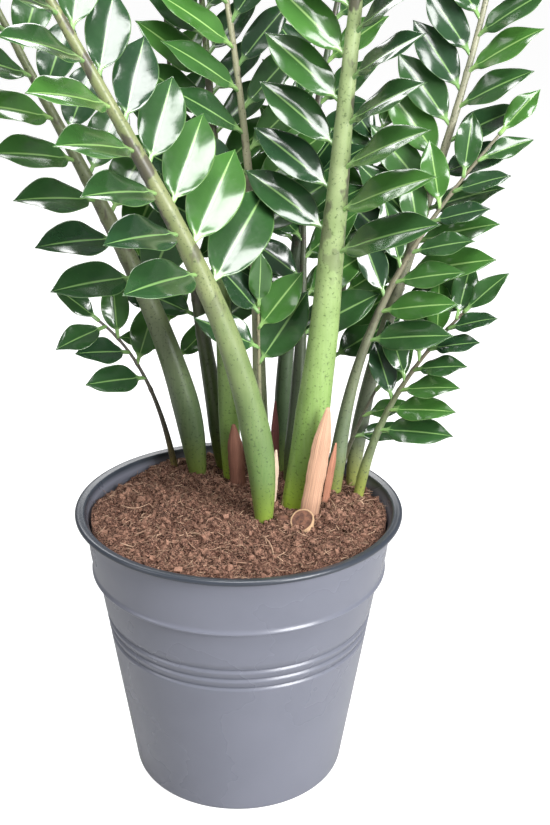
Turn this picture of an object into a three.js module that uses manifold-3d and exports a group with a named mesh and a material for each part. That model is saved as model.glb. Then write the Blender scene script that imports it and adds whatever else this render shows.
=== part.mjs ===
// Potted ZZ plant (Zamioculcas zamiifolia) in a moulded grower pot.
// Millimetres, +Z up, origin at the centre of the pot's resting face.
import * as THREE from "three";
import Module from "manifold-3d";

const wasm = await Module();
wasm.setup();

// ---------------------------------------------------------------- driving dimensions
const POT_TURN_STEPS = 36;
const RIM_RADIUS = 135;
const RIM_TOP = 240;
const LIP_HALF_HEIGHT = 2.5;
const COLLAR_RADIUS_TOP = 126.6;
const COLLAR_RADIUS_BOTTOM = 122.8;
const COLLAR_BOTTOM = 186.5;
const WALL_FOOT_RADIUS = 90.4;
const WALL_SLOPE = 0.149;
const WALL_THICKNESS = 2.2;
const FLOOR_THICKNESS = 3;
const GROOVE_HEIGHTS = [133.3, 141.9, 150.5];
const GROOVE_HALF_WIDTH = 2.8;
const GROOVE_DEPTH = 1.4;
const DRAIN_CIRCLE = 62;
const DRAIN_RADIUS = 5;
const DRAIN_COUNT = 8;

const SOIL_GAP = 0.4;
const SOCKET_GAP = 0.4;
const STUB_SOCKET_GAP = 0.7;
const SOIL_EDGE_HEIGHT = 233.5;
const SOIL_MOUND = 3.5;

const STALK_SIDES = 6;
const LEAFLET_THICKNESS = 1.2;
const PETIOLE_LENGTH = 6;
const PETIOLE_RADIUS = 1.4;
const LEAFLET_FOLD = 0.22;
const LEAFLET_CURL = 0.1;
const END_LEAFLET = { length: 46, width: 0.42 };
const RANK_STAGGER = 0.45;
const RANK_LIFT = 0.15;
const LENGTH_VARIATION = 0.08;
const TAPER_POWER = 1.7;
const CURVE_STEPS = 14;
const FOOT_CROWDING = 1.2;
const CLEAR_STEPS = 90;
const CLEARANCE = 2.2;

// Stalks. way: x, y, z of the four points of a cubic curve, foot to tip.
// girth: radius at the foot, at the swelling and at the tip; swell: height of the swelling.
// face: heading and lift in degrees of the side the leaflets turn their upper face to.
// ranks: two rows of leaflets from one height to another: step, opening angle and length at
// both ends, and width as a share of the length.
const STALKS = {
  leaf_front_left: {
    way: [[20, -25, 215], [25, -30, 400], [-65, -45, 505], [-215, -105, 815]],
    girth: [4.5, 12, 1.2], swell: 315, face: [-60, 55],
    ranks: { from: 430, to: 805, step: 30, angle: [65, 32], length: [90, 45], width: 0.46 },
  },
  leaf_back_left: {
    way: [[-35, 70, 215], [-45, 70, 385], [-120, 65, 470], [-235, 30, 750]],
    girth: [5, 12, 1.2], swell: 305, face: [-70, 50],
    ranks: { from: 400, to: 765, step: 32, angle: [65, 32], length: [85, 45], width: 0.48 },
  },
  leaf_centre: {
    way: [[40, 5, 215], [80, -5, 355], [65, -5, 600], [110, -40, 905]],
    girth: [8, 14, 1.2], swell: 320, face: [-120, 50],
    ranks: { from: 450, to: 880, step: 32, angle: [60, 32], length: [85, 45], width: 0.4 },
  },
  leaf_left_slim: {
    way: [[-10, 85, 215], [-25, 85, 330], [-50, 85, 450], [-60, 100, 640]],
    girth: [5, 9, 1.2], swell: 275, face: [-90, 45],
    ranks: { from: 360, to: 620, step: 30, angle: [60, 30], length: [60, 45], width: 0.45 },
  },
  leaf_middle_back: {
    way: [[-5, 60, 215], [-15, 60, 380], [-15, 65, 560], [-45, 75, 770]],
    girth: [6, 9, 1.2], swell: 300, face: [-90, 45],
    ranks: { from: 440, to: 750, step: 30, angle: [55, 30], length: [75, 45], width: 0.46 },
  },
  leaf_middle_pale: {
    way: [[20, 50, 215], [15, 50, 420], [15, 50, 560], [-45, 35, 800]],
    girth: [5, 6.5, 1.2], swell: 290, face: [-80, 45],
    ranks: { from: 455, to: 790, step: 32, angle: [55, 30], length: [80, 45], width: 0.38 },
  },
  leaf_back_centre: {
    way: [[35, 80, 215], [40, 80, 400], [55, 85, 560], [110, 95, 780]],
    girth: [6, 7.5, 1.2], swell: 310, face: [-90, 45],
    ranks: { from: 360, to: 760, step: 32, angle: [55, 30], length: [70, 45], width: 0.44 },
  },
  leaf_centre_dark: {
    way: [[45, 45, 215], [50, 45, 320], [55, 50, 420], [50, 55, 530]],
    girth: [6, 8.5, 1.2], swell: 275, face: [-90, 40],
    ranks: { from: 370, to: 520, step: 32, angle: [55, 35], length: [65, 50], width: 0.46 },
  },
  leaf_right_front: {
    way: [[80, 30, 215], [85, 30, 350], [115, 35, 430], [205, 50, 535]],
    girth: [5, 7, 1.2], swell: 265, face: [-100, 45],
    ranks: { from: 370, to: 525, step: 24, angle: [60, 35], length: [65, 45], width: 0.42 },
  },
  leaf_right_tall: {
    way: [[100, 60, 215], [100, 60, 390], [195, 65, 510], [215, 90, 820]],
    girth: [5, 7, 1.2], swell: 285, face: [-110, 45],
    ranks: { from: 390, to: 800, step: 27, angle: [60, 32], length: [78, 42], width: 0.44 },
  },
  leaf_right_low: {
    way: [[100, 25, 215], [105, 25, 290], [135, 20, 350], [180, 15, 400]],
    girth: [3.5, 4.5, 1.2], swell: 255, face: [-100, 50],
    ranks: { from: 295, to: 390, step: 18, angle: [60, 35], length: [60, 45], width: 0.42 },
  },
  leaf_small_right: {
    way: [[80, 50, 215], [90, 50, 260], [100, 45, 290], [115, 40, 325]],
    girth: [3, 3, 1.2], swell: 240, face: [-60, 50],
    ranks: { from: 280, to: 308, step: 20, angle: [60, 45], length: [45, 40], width: 0.42 },
  },
  leaf_back_right: {
    way: [[70, 75, 215], [75, 80, 330], [90, 80, 430], [115, 90, 530]],
    girth: [4, 4.5, 1.2], swell: 260, face: [-90, 40],
    ranks: { from: 340, to: 510, step: 28, angle: [55, 35], length: [65, 50], width: 0.48 },
  },
  shoot_left_low: {
    way: [[-55, 85, 215], [-65, 85, 290], [-85, 80, 345], [-120, 75, 375]],
    girth: [2.5, 3, 1.2], swell: 240, face: [-80, 45],
    ranks: { from: 310, to: 360, step: 24, angle: [60, 40], length: [60, 50], width: 0.5 },
  },
  shoot_left_back: {
    way: [[-35, 100, 215], [-45, 100, 300], [-60, 105, 350], [-75, 110, 390]],
    girth: [2.5, 3, 1.2], swell: 240, face: [-90, 45],
    ranks: { from: 330, to: 380, step: 30, angle: [60, 40], length: [50, 45], width: 0.42 },
  },
  shoot_centre: {
    way: [[15, 20, 215], [20, 20, 290], [15, 20, 350], [15, 15, 405]],
    girth: [2.5, 3.5, 1.2], swell: 250, face: [-80, 40],
    ranks: { from: 355, to: 390, step: 30, angle: [55, 35], length: [65, 55], width: 0.5 },
  },
};

// Papery sheaths at the foot: foot point, tip point, width, heading its outside faces.
const SHEATHS = {
  sheath_front: { foot: [55, -20, 225], tip: [70, -25, 335], width: 16, heading: -80 },
  sheath_left: { foot: [25, -5, 225], tip: [30, -5, 290], width: 8, heading: -90 },
  sheath_back_left: { foot: [0, 40, 225], tip: [-5, 40, 295], width: 14, heading: -100 },
  sheath_right: { foot: [70, 5, 225], tip: [80, 10, 290], width: 10, heading: -40 },
  sheath_back: { foot: [30, 30, 225], tip: [30, 30, 320], width: 7, heading: -90 },
};
const SHEATH_THICKNESS = 1;
const STUB = { centre: [50, -40], radius: 9.5, foot: 224, top: 243, slope: 0.62, face: -110 };
const KNOB = { centre: [35, -30, 237], radius: 5.5 };

const SOIL_COLOUR = 0x6b4433;
const POT_COLOUR = 0x9498a6;
const STALK_COLOURS = { leaf_centre: 0x86b25c, leaf_middle_pale: 0x5d8a3e };
const PLANT_COLOUR = 0x3f7a2e;
const SHEATH_COLOUR = 0xb98468;
const STUB_COLOUR = 0x6a4a38;

// ---------------------------------------------------------------- small tools
const rad = (degrees) => (degrees * Math.PI) / 180;
const add = (a, b, k = 1) => [a[0] + b[0] * k, a[1] + b[1] * k, a[2] + b[2] * k];
const dot = (a, b) => a[0] * b[0] + a[1] * b[1] + a[2] * b[2];
const cross = (a, b) => [
  a[1] * b[2] - a[2] * b[1],
  a[2] * b[0] - a[0] * b[2],
  a[0] * b[1] - a[1] * b[0],
];
const unit = (a) => {
  const length = Math.sqrt(dot(a, a));
  return [a[0] / length, a[1] / length, a[2] / length];
};
const aim = (heading, lift) => [
  Math.cos(rad(heading)) * Math.cos(rad(lift)),
  Math.sin(rad(heading)) * Math.cos(rad(lift)),
  Math.sin(rad(lift)),
];

function solid(points, faces) {
  const mesh = new wasm.Mesh({
    numProp: 3,
    vertProperties: new Float32Array(points.flat()),
    triVerts: new Uint32Array(faces.flat()),
  });
  return new wasm.Manifold(mesh);
}

// A closed body from equal rings of points; the end rings are closed by cross strips.
function loft(rings) {
  const sides = rings[0].length;
  const points = rings.flat();
  const faces = [];
  for (let i = 0; i + 1 < rings.length; i += 1) {
    for (let k = 0; k < sides; k += 1) {
      const a = i * sides + k;
      const b = i * sides + ((k + 1) % sides);
      faces.push([a, b, b + sides], [a, b + sides, a + sides]);
    }
  }
  const last = (rings.length - 1) * sides;
  for (let k = 0; k < sides / 2 - 1; k += 1) {
    const [a, b, c, d] = [k, k + 1, sides - 2 - k, sides - 1 - k];
    faces.push([a, c, b], [a, d, c]);
    faces.push([last + a, last + b, last + c], [last + a, last + c, last + d]);
  }
  return solid(points, faces);
}

function toMesh(body, name, colour, roughness) {
  const mesh = body.getMesh();
  const geometry = new THREE.BufferGeometry();
  const positions = new Float32Array((mesh.vertProperties.length / mesh.numProp) * 3);
  for (let i = 0; i < positions.length / 3; i += 1) {
    for (let k = 0; k < 3; k += 1) {
      positions[i * 3 + k] = mesh.vertProperties[i * mesh.numProp + k];
    }
  }
  geometry.setAttribute("position", new THREE.BufferAttribute(positions, 3));
  geometry.setIndex(new THREE.BufferAttribute(new Uint32Array(mesh.triVerts), 1));
  geometry.computeVertexNormals();
  const material = new THREE.MeshStandardMaterial({ color: colour, roughness, metalness: 0 });
  const result = new THREE.Mesh(geometry, material);
  result.name = name;
  return result;
}

// ---------------------------------------------------------------- stalks
// Radius at a height: swells from the foot, then tapers to the tip.
function girthAt({ way, girth, swell }, z) {
  const [foot, thickest, tip] = girth;
  if (z < swell) {
    const share = (z - way[0][2]) / (swell - way[0][2]);
    return foot + (thickest - foot) * Math.sin((Math.PI / 2) * Math.max(0, share));
  }
  const share = Math.min(1, (z - swell) / (way[3][2] - swell));
  return tip + (thickest - tip) * (1 - share) ** TAPER_POWER;
}

// Points and radii along the stalk's cubic curve, closer together near the foot.
function centreline(given, steps) {
  const curve = new THREE.CubicBezierCurve3(...given.way.map((p) => new THREE.Vector3(...p)));
  const line = [];
  for (let i = 0; i <= steps; i += 1) {
    const { x, y, z } = curve.getPoint((i / steps) ** FOOT_CROWDING);
    line.push([x, y, z, girthAt(given, z)]);
  }
  return line;
}

// Point, radius and direction of the stalk at a height.
function onStalk(line, height) {
  let i = 0;
  while (i + 2 < line.length && line[i + 1][2] < height) {
    i += 1;
  }
  const share = Math.min(1, (height - line[i][2]) / (line[i + 1][2] - line[i][2]));
  const at = line[i].map((value, k) => value + (line[i + 1][k] - value) * share);
  return { point: at.slice(0, 3), radius: at[3], along: unit(add(line[i + 1], line[i], -1)) };
}

function stalkBody(points, extra) {
  const rings = points.map((point, i) => {
    const before = points[Math.max(0, i - 1)];
    const after = points[Math.min(points.length - 1, i + 1)];
    const along = unit(add(after, before, -1));
    const side = unit(cross([0, 1, 0], along));
    const back = cross(along, side);
    const ring = [];
    for (let k = 0; k < STALK_SIDES; k += 1) {
      const turn = (2 * Math.PI * k) / STALK_SIDES;
      const reach = point[3] + extra;
      const out = add(point, side, Math.cos(turn) * reach);
      ring.push(add(out, back, Math.sin(turn) * reach));
    }
    return ring;
  });
  return loft(rings);
}

// ---------------------------------------------------------------- leaflets
// Half width of the blade, as a share of the full width, t = 0 at its foot and 1 at its tip:
// a full rounded oval that narrows to a short point.
function outline(t) {
  const along = Math.min(1, Math.max(0, t));
  const arch = Math.max(0, Math.sin(Math.PI * along ** 0.9));
  return 0.5 * arch ** (0.62 + 0.5 * along ** 3);
}

// Height of the blade's middle surface above its axis plane, x along and y across.
function bladeHeight(leaf, x, y) {
  const t = Math.max(0, (x - leaf.foot) / (leaf.length - leaf.foot));
  return LEAFLET_FOLD * Math.abs(y) - LEAFLET_CURL * leaf.length * t * t;
}

function makeLeaf(stalk, height, direction, length, width) {
  const at = onStalk(stalk.line, height);
  const across = unit(cross(aim(...stalk.face), direction));
  const normal = cross(direction, across);
  const foot = at.radius + PETIOLE_LENGTH;
  const reach = length + at.radius;
  return {
    origin: at.point, direction, across, normal, foot,
    length: reach, width: width * length,
  };
}

function leafPoint(leaf, x, y, lift) {
  const bent = bladeHeight(leaf, x, y) + lift;
  return add(add(add(leaf.origin, leaf.direction, x), leaf.across, y), leaf.normal, bent);
}

function leafSamples(leaf) {
  const rows = [];
  for (let j = -2; j <= 2; j += 1) {
    const row = [];
    for (let i = 0; i <= 8; i += 1) {
      const t = i / 8;
      const x = leaf.foot + (leaf.length - leaf.foot) * t;
      row.push(leafPoint(leaf, x, (j / 2) * leaf.width * outline(t), 0));
    }
    rows.push(row);
  }
  return rows;
}

// Where a point is against the blade: its height above it, or null when off to the side.
function above(leaf, point, gap) {
  const away = add(point, leaf.origin, -1);
  const x = dot(away, leaf.direction);
  const y = dot(away, leaf.across);
  if (x < -gap || x > leaf.length + gap) {
    return null;
  }
  const t = (x - leaf.foot) / (leaf.length - leaf.foot);
  if (Math.abs(y) > leaf.width * outline(t) + gap) {
    return null;
  }
  return dot(away, leaf.normal) - bladeHeight(leaf, x, y);
}

function crosses(leaf, rows) {
  for (const row of rows) {
    let last = null;
    for (const point of row) {
      const height = above(leaf, point, CLEARANCE);
      if (height !== null && Math.abs(height) < CLEARANCE) {
        return true;
      }
      if (height !== null && last !== null && height * last < 0) {
        return true;
      }
      last = height;
    }
  }
  return false;
}

function touchesStalk(leaf, line) {
  return line.some((point) => {
    const gap = point[3] + CLEARANCE;
    const height = above(leaf, point, gap);
    return height !== null && Math.abs(height) < gap;
  });
}

// Tries the wanted direction, then small turns of it, until the leaflet is clear of the rest.
const TURNS = [
  [0, 0], [10, 0], [-10, 0], [0, 10], [0, -10], [20, 0], [-20, 0], [14, 14], [-14, 14],
  [14, -14], [-14, -14], [30, 0], [-30, 0], [0, 22], [0, -22], [22, 22], [-22, 22],
];

function place(stalk, height, heading, lift, length, width) {
  for (const [turn, raise] of TURNS) {
    const direction = aim(heading + turn, Math.min(80, lift + raise));
    const leaf = makeLeaf(stalk, height, direction, length, width);
    const rows = leafSamples(leaf);
    const far = (other) => Math.hypot(...add(leaf.origin, other.leaf.origin, -1))
      > leaf.length + other.leaf.length;
    const blocked = placed.some((other) => !far(other)
      && (crosses(leaf, other.rows) || crosses(other.leaf, rows)))
      || stalks.some((other) => other !== stalk && touchesStalk(leaf, other.fine));
    if (!blocked) {
      placed.push({ leaf, rows });
      stalk.leaves.push(leaf);
      return;
    }
  }
}

// Four-cornered rings along the leaflet: petiole, blade, and a pointed tip.
function leafBody(leaf) {
  const ring = (x, half, thick) => [
    leafPoint(leaf, x, -half, 0),
    leafPoint(leaf, x, 0, -thick),
    leafPoint(leaf, x, half, 0),
    leafPoint(leaf, x, 0, thick),
  ];
  const at = (t) => leaf.foot + (leaf.length - leaf.foot) * t;
  const thick = LEAFLET_THICKNESS / 2;
  const rings = [
    ring(0, PETIOLE_RADIUS, PETIOLE_RADIUS),
    ring(leaf.foot, PETIOLE_RADIUS, PETIOLE_RADIUS),
    ring(at(0.3), leaf.width * outline(0.3), thick),
    ring(at(0.68), leaf.width * outline(0.68), thick),
  ];
  const points = rings.flat();
  points.push(leafPoint(leaf, leaf.length, 0, 0));
  const faces = [];
  for (let i = 0; i + 1 < rings.length; i += 1) {
    for (let k = 0; k < 4; k += 1) {
      const a = i * 4 + k;
      const b = i * 4 + ((k + 1) % 4);
      faces.push([a, b, b + 4], [a, b + 4, a + 4]);
    }
  }
  const last = (rings.length - 1) * 4;
  const tip = points.length - 1;
  for (let k = 0; k < 4; k += 1) {
    faces.push([last + k, last + ((k + 1) % 4), tip]);
  }
  faces.push([0, 2, 1], [0, 3, 2]);
  return solid(points, faces);
}

const placed = [];
const stalks = Object.entries(STALKS).map(([name, given]) => ({
  name,
  ...given,
  line: centreline(given, CURVE_STEPS),
  fine: centreline(given, CLEAR_STEPS),
  leaves: [],
}));

for (const stalk of stalks) {
  const { from, to, step, angle, length, width } = stalk.ranks;
  const count = Math.floor((to - from) / step) + 1;
  for (let i = 0; i < count; i += 1) {
    const share = i / (count - 1);
    for (const side of [1, -1]) {
      const height = from + i * step + (side > 0 ? 0 : step * RANK_STAGGER);
      const at = onStalk(stalk.line, height);
      const up = unit(add(aim(...stalk.face), at.along, -dot(aim(...stalk.face), at.along)));
      const out = cross(at.along, up);
      const open = rad(angle[0] + (angle[1] - angle[0]) * share);
      let direction = add([0, 0, 0], at.along, Math.cos(open));
      direction = unit(add(add(direction, out, side * Math.sin(open)), up, RANK_LIFT));
      const heading = (Math.atan2(direction[1], direction[0]) * 180) / Math.PI;
      const lift = (Math.asin(direction[2]) * 180) / Math.PI;
      const size = length[0] + (length[1] - length[0]) * share;
      const vary = 1 + LENGTH_VARIATION * Math.sin(7 * i + 2 * side);
      place(stalk, height, heading, lift, size * vary, width);
    }
  }
  const tip = stalk.line[stalk.line.length - 1];
  const before = stalk.line[stalk.line.length - 2];
  const end = unit(add(tip, before, -1));
  const heading = (Math.atan2(end[1], end[0]) * 180) / Math.PI;
  const lift = (Math.asin(end[2]) * 180) / Math.PI;
  place(stalk, tip[2] - 1, heading, lift, END_LEAFLET.length, END_LEAFLET.width);
}

// ---------------------------------------------------------------- pot
function wallRadius(z) {
  return WALL_FOOT_RADIUS + WALL_SLOPE * z;
}

function potBody() {
  const outer = [[0.001, 0], [86.5, 0], [89.6, 1], [wallRadius(3.5), 3.5]];
  for (const middle of GROOVE_HEIGHTS) {
    outer.push([wallRadius(middle - GROOVE_HALF_WIDTH), middle - GROOVE_HALF_WIDTH]);
    outer.push([wallRadius(middle) - GROOVE_DEPTH, middle]);
    outer.push([wallRadius(middle + GROOVE_HALF_WIDTH), middle + GROOVE_HALF_WIDTH]);
  }
  outer.push([wallRadius(COLLAR_BOTTOM - 1), COLLAR_BOTTOM - 1]);
  outer.push([COLLAR_RADIUS_BOTTOM - 1.2, COLLAR_BOTTOM - 0.6]);
  outer.push([COLLAR_RADIUS_BOTTOM, COLLAR_BOTTOM + 1.4]);
  const lipFoot = RIM_TOP - 2 * LIP_HALF_HEIGHT;
  outer.push([COLLAR_RADIUS_TOP, lipFoot - 0.5]);
  outer.push([RIM_RADIUS - 2.2, lipFoot]);
  outer.push([RIM_RADIUS, RIM_TOP - LIP_HALF_HEIGHT]);
  outer.push([RIM_RADIUS - 2.2, RIM_TOP]);
  outer.push([COLLAR_RADIUS_TOP + 2, RIM_TOP]);
  const inner = [
    [COLLAR_RADIUS_TOP - WALL_THICKNESS, RIM_TOP - 3],
    [COLLAR_RADIUS_BOTTOM - WALL_THICKNESS, COLLAR_BOTTOM + 2.5],
    [wallRadius(COLLAR_BOTTOM) - WALL_THICKNESS - 1, COLLAR_BOTTOM],
    [wallRadius(158) - WALL_THICKNESS, 158],
    [wallRadius(142) - WALL_THICKNESS - 1.2, 142],
    [wallRadius(126) - WALL_THICKNESS, 126],
    [wallRadius(6) - WALL_THICKNESS, 6],
    [wallRadius(3) - WALL_THICKNESS - 2, FLOOR_THICKNESS],
    [0.001, FLOOR_THICKNESS],
  ];
  const rings = [];
  for (const [radius, z] of [...outer, ...inner]) {
    const ring = [];
    for (let k = 0; k < POT_TURN_STEPS; k += 1) {
      const turn = (2 * Math.PI * k) / POT_TURN_STEPS;
      ring.push([Math.cos(turn) * radius, Math.sin(turn) * radius, z]);
    }
    rings.push(ring);
  }
  const points = [];
  const faces = [];
  const rows = rings.length;
  points.push([0, 0, 0]);
  for (let i = 1; i + 1 < rows; i += 1) {
    points.push(...rings[i]);
  }
  points.push([0, 0, FLOOR_THICKNESS]);
  const top = points.length - 1;
  const id = (i, k) => 1 + (i - 1) * POT_TURN_STEPS + (k % POT_TURN_STEPS);
  for (let k = 0; k < POT_TURN_STEPS; k += 1) {
    faces.push([0, id(1, k + 1), id(1, k)]);
    faces.push([top, id(rows - 2, k), id(rows - 2, k + 1)]);
    for (let i = 1; i + 2 < rows; i += 1) {
      faces.push([id(i, k), id(i, k + 1), id(i + 1, k + 1)]);
      faces.push([id(i, k), id(i + 1, k + 1), id(i + 1, k)]);
    }
  }
  let body = solid(points, faces);
  for (let n = 0; n < DRAIN_COUNT; n += 1) {
    const turn = (2 * Math.PI * (n + 0.5)) / DRAIN_COUNT;
    const hole = wasm.Manifold.cylinder(FLOOR_THICKNESS + 2, DRAIN_RADIUS, DRAIN_RADIUS, 12);
    const at = [Math.cos(turn) * DRAIN_CIRCLE, Math.sin(turn) * DRAIN_CIRCLE, -1];
    body = body.subtract(hole.translate(at));
  }
  return body;
}

// ---------------------------------------------------------------- soil
// Low mound, with a hollow beside the wall at the back left and another at the right.
function soilHeight(x, y) {
  const share = Math.min(1, Math.hypot(x, y) / 121);
  const turn = (Math.atan2(y, x) * 180) / Math.PI;
  const left = 8 * Math.exp(-(((turn - 150) / 17) ** 2));
  const right = 7 * Math.exp(-(((turn - 27) / 19) ** 2));
  const bumps = 1.2 * Math.sin(x / 11 + 1) * Math.cos(y / 13) + 0.8 * Math.sin(x / 5 - y / 7);
  const level = SOIL_EDGE_HEIGHT + SOIL_MOUND * (1 - share ** 3);
  return level - (left + right) * share ** 6 + bumps * (1 - share ** 8);
}

function soilBody() {
  const steps = POT_TURN_STEPS;
  const gap = SOIL_GAP + WALL_THICKNESS;
  const side = [
    [wallRadius(3) - gap - 2.5, FLOOR_THICKNESS + SOIL_GAP],
    [wallRadius(7) - gap - 0.2, 7],
    [wallRadius(126) - gap - 0.2, 126],
    [wallRadius(142) - gap - 1.4, 142],
    [wallRadius(158) - gap - 0.2, 158],
    [wallRadius(COLLAR_BOTTOM) - gap - 1.4, COLLAR_BOTTOM],
    [COLLAR_RADIUS_BOTTOM - gap - 0.4, COLLAR_BOTTOM + 3],
    [122.2, 220],
  ];
  const points = [[0, 0, FLOOR_THICKNESS + SOIL_GAP]];
  const faces = [];
  const around = (radius, z) => {
    for (let k = 0; k < steps; k += 1) {
      const turn = (2 * Math.PI * k) / steps;
      const x = Math.cos(turn) * radius;
      const y = Math.sin(turn) * radius;
      points.push([x, y, z ?? soilHeight(x, y)]);
    }
  };
  side.forEach(([radius, z]) => around(radius, z));
  const levels = [121, 108, 92, 76, 60, 44, 28, 13];
  levels.forEach((radius) => around(radius, null));
  points.push([0, 0, soilHeight(0, 0)]);
  const rows = side.length + levels.length;
  const id = (i, k) => 1 + i * steps + (k % steps);
  for (let k = 0; k < steps; k += 1) {
    faces.push([0, id(0, k + 1), id(0, k)]);
    faces.push([points.length - 1, id(rows - 1, k), id(rows - 1, k + 1)]);
    for (let i = 0; i + 1 < rows; i += 1) {
      faces.push([id(i, k), id(i, k + 1), id(i + 1, k + 1)]);
      faces.push([id(i, k), id(i + 1, k + 1), id(i + 1, k)]);
    }
  }
  return solid(points, faces);
}

// ---------------------------------------------------------------- sheaths, stub, knob
// A pointed papery strip curved round its own length, even in width for two thirds of it.
// Its socket stands off twice as far in thickness, because the strip's long edges slope.
function sheathBody(sheath, extra) {
  const axis = add(sheath.tip, sheath.foot, -1);
  const face = aim(sheath.heading, 0);
  const across = unit(cross(face, axis));
  const out = unit(cross(axis, across));
  const rings = [];
  for (const t of [0, 0.25, 0.5, 0.75, 0.97]) {
    const half = 0.5 * sheath.width * Math.min(1, (3 * (1 - t)) ** 0.65 + 0.02) + extra;
    const thick = SHEATH_THICKNESS / 2 + 2 * extra;
    const middle = add(sheath.foot, axis, t);
    const ring = [];
    for (const [s, layer] of [[-1, -1], [-0.5, -1], [0, -1], [0.5, -1], [1, -1],
      [1, 1], [0.5, 1], [0, 1], [-0.5, 1], [-1, 1]]) {
      const bow = 0.45 * half * (1 - s * s);
      ring.push(add(add(middle, across, s * half), out, bow + layer * thick));
    }
    rings.push(ring);
  }
  return loft(rings);
}

// A short round stub whose flat cut faces up and out, towards the front.
function stubBody(extra) {
  const rings = [[STUB.foot - extra, 1], [STUB.top - 3, 1.04], [STUB.top, 0.94]].map(([z, k]) => {
    const ring = [];
    for (let n = 0; n < 12; n += 1) {
      const turn = (2 * Math.PI * n) / 12;
      const reach = STUB.radius * k + extra;
      const fall = STUB.slope * reach * Math.cos(turn - rad(STUB.face));
      ring.push([
        STUB.centre[0] + Math.cos(turn) * reach,
        STUB.centre[1] + Math.sin(turn) * reach,
        z > STUB.foot ? z - fall : z,
      ]);
    }
    return ring;
  });
  return loft(rings);
}

function knobBody(extra) {
  const lump = wasm.Manifold.sphere(KNOB.radius + extra, 12);
  return lump.scale([1.2, 0.9, 1]).translate(KNOB.centre);
}

// ---------------------------------------------------------------- the whole plant
const group = new THREE.Group();
group.name = "potted_zz_plant";

const lower = (point) => point.map((value, k) => (k === 2 ? value - SOCKET_GAP : value));
let soil = soilBody();
for (const stalk of stalks) {
  const foot = stalk.line.filter((point) => point[2] < 350);
  soil = soil.subtract(stalkBody([lower(foot[0]), ...foot.slice(1)], SOCKET_GAP));
}
for (const sheath of Object.values(SHEATHS)) {
  soil = soil.subtract(sheathBody({ ...sheath, foot: lower(sheath.foot) }, SOCKET_GAP));
}
soil = soil.subtract(stubBody(STUB_SOCKET_GAP));
soil = soil.subtract(knobBody(SOCKET_GAP));

group.add(toMesh(potBody(), "pot", POT_COLOUR, 0.4));
group.add(toMesh(soil, "soil", SOIL_COLOUR, 0.95));

for (const stalk of stalks) {
  let body = stalkBody(stalk.line, 0);
  for (const leaf of stalk.leaves) {
    body = body.add(leafBody(leaf));
  }
  group.add(toMesh(body, stalk.name, STALK_COLOURS[stalk.name] ?? PLANT_COLOUR, 0.35));
}

for (const [name, sheath] of Object.entries(SHEATHS)) {
  group.add(toMesh(sheathBody(sheath, 0), name, SHEATH_COLOUR, 0.8));
}
group.add(toMesh(stubBody(0), "cut_stub", STUB_COLOUR, 0.9));
group.add(toMesh(knobBody(0), "root_knob", SHEATH_COLOUR, 0.7));

export default group;
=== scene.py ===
import math

import bpy
import numpy as np
from mathutils import Matrix, Vector
from mathutils.kdtree import KDTree


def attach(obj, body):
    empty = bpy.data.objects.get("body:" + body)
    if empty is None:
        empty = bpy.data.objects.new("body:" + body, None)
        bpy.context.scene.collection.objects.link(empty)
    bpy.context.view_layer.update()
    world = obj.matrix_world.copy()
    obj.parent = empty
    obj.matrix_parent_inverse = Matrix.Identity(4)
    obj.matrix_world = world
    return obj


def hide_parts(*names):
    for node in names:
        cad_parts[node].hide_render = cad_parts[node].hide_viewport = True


# ------------------------------------------------------------------ frame and camera
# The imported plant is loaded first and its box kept. The camera looks down at the pot
# from the front, from a little above the leaves' lower half.
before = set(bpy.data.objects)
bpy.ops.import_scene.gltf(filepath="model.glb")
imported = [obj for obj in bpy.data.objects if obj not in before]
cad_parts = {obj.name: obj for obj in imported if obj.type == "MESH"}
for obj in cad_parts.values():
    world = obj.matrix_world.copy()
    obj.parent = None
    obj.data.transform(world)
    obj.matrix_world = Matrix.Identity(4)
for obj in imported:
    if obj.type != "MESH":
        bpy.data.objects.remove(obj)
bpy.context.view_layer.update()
scene = bpy.context.scene

camera_data = bpy.data.cameras.new("camera")
camera_data.lens = 50
camera_data.sensor_width = 36
camera = bpy.data.objects.new("camera", camera_data)
camera.matrix_world = (
    Matrix.Translation((0, -0.8640, 0.6477))
    @ Matrix.Rotation(math.radians(90 - 20.80), 4, "X")
    @ Matrix.Rotation(math.radians(-1.785), 4, "Y")
)
scene.collection.objects.link(camera)
scene.camera = camera
scene.view_settings.view_transform = "Standard"

# ------------------------------------------------------------------ stage
# A plain white floor in a dim room, lit by a large soft box in front to the right, a weaker
# one to the left, one overhead and one behind, as on a light table.
def seen_only(nodes, links, seen, lit):
    """One value where the camera looks straight at the stage, another for its light."""
    path = nodes.new("ShaderNodeLightPath")
    spread = nodes.new("ShaderNodeMapRange")
    spread.inputs["To Min"].default_value = lit
    spread.inputs["To Max"].default_value = seen
    links.new(path.outputs["Is Camera Ray"], spread.inputs["Value"])
    return spread.outputs["Result"]


floor_mesh = bpy.data.meshes.new("floor")
floor_mesh.from_pydata(
    [(-40, -40, 0), (40, -40, 0), (40, 40, 0), (-40, 40, 0)], [], [(0, 1, 2, 3)]
)
floor = bpy.data.objects.new("floor", floor_mesh)
scene.collection.objects.link(floor)
floor_paint = bpy.data.materials.new("floor_paint")
floor_paint.use_nodes = True
floor_shader = floor_paint.node_tree.nodes["Principled BSDF"]
floor_shader.inputs["Base Color"].default_value = (0.45, 0.45, 0.45, 1)
floor_shader.inputs["Roughness"].default_value = 0.9
floor_shader.inputs["Specular IOR Level"].default_value = 0.1
floor_shader.inputs["Emission Color"].default_value = (1, 1, 1, 1)
floor_tree = floor_paint.node_tree
floor_glow = seen_only(floor_tree.nodes, floor_tree.links, 0.86, 0.0)
floor_tree.links.new(floor_glow, floor_shader.inputs["Emission Strength"])
floor_mesh.materials.append(floor_paint)

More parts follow.
